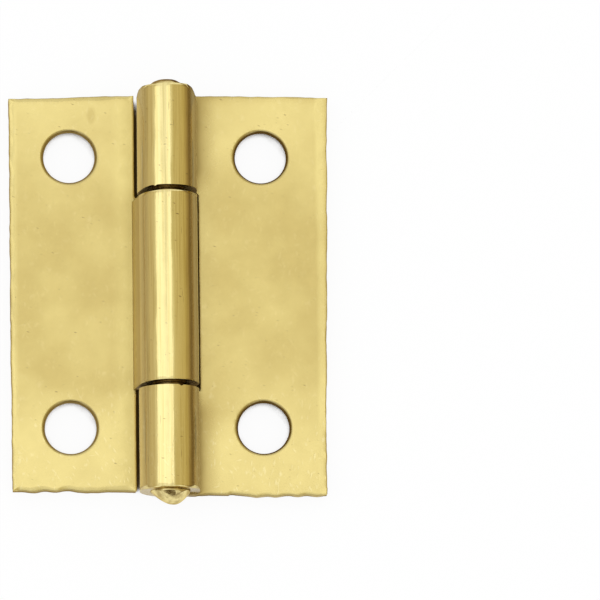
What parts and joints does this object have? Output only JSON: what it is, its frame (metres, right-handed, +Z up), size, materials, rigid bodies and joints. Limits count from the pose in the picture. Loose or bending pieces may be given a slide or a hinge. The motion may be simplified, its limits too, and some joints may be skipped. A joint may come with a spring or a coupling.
{
  "type": "butt hinge",
  "caption": "Small butt hinge of rolled sheet brass: two flat leaves with plain screw holes around one domed pin.",
  "frame": {"origin": "middle of the bounding box's lower face, under the middle of the barrel, where the barrel rests", "axes": "+Y along the pin, +X towards the leaf with the outer knuckles, +Z up out of the leaves' inner faces"},
  "size_m": [0.0199, 0.027, 0.0037],
  "materials": {
    "leaf_brass": "pale yellow brass, satin and lightly scratched on the leaves, brighter on the rolled barrel",
    "pin_brass": "pale yellow brass, dull, with hammered heads"
  },
  "bodies": {
    "outer_leaf": {"outer_knuckle_leaf": "leaf_brass", "hinge_pin": "pin_brass"},
    "centre_leaf": {"centre_knuckle_leaf": "leaf_brass"}
  },
  "joints": [
    {"name": "leaf_swing", "type": "hinge", "parent": "outer_leaf", "child": "centre_leaf", "pos_m": [0, 0, 0.00187], "axis": [0, 1, 0], "range_deg": [-97, 188]}
  ]
}
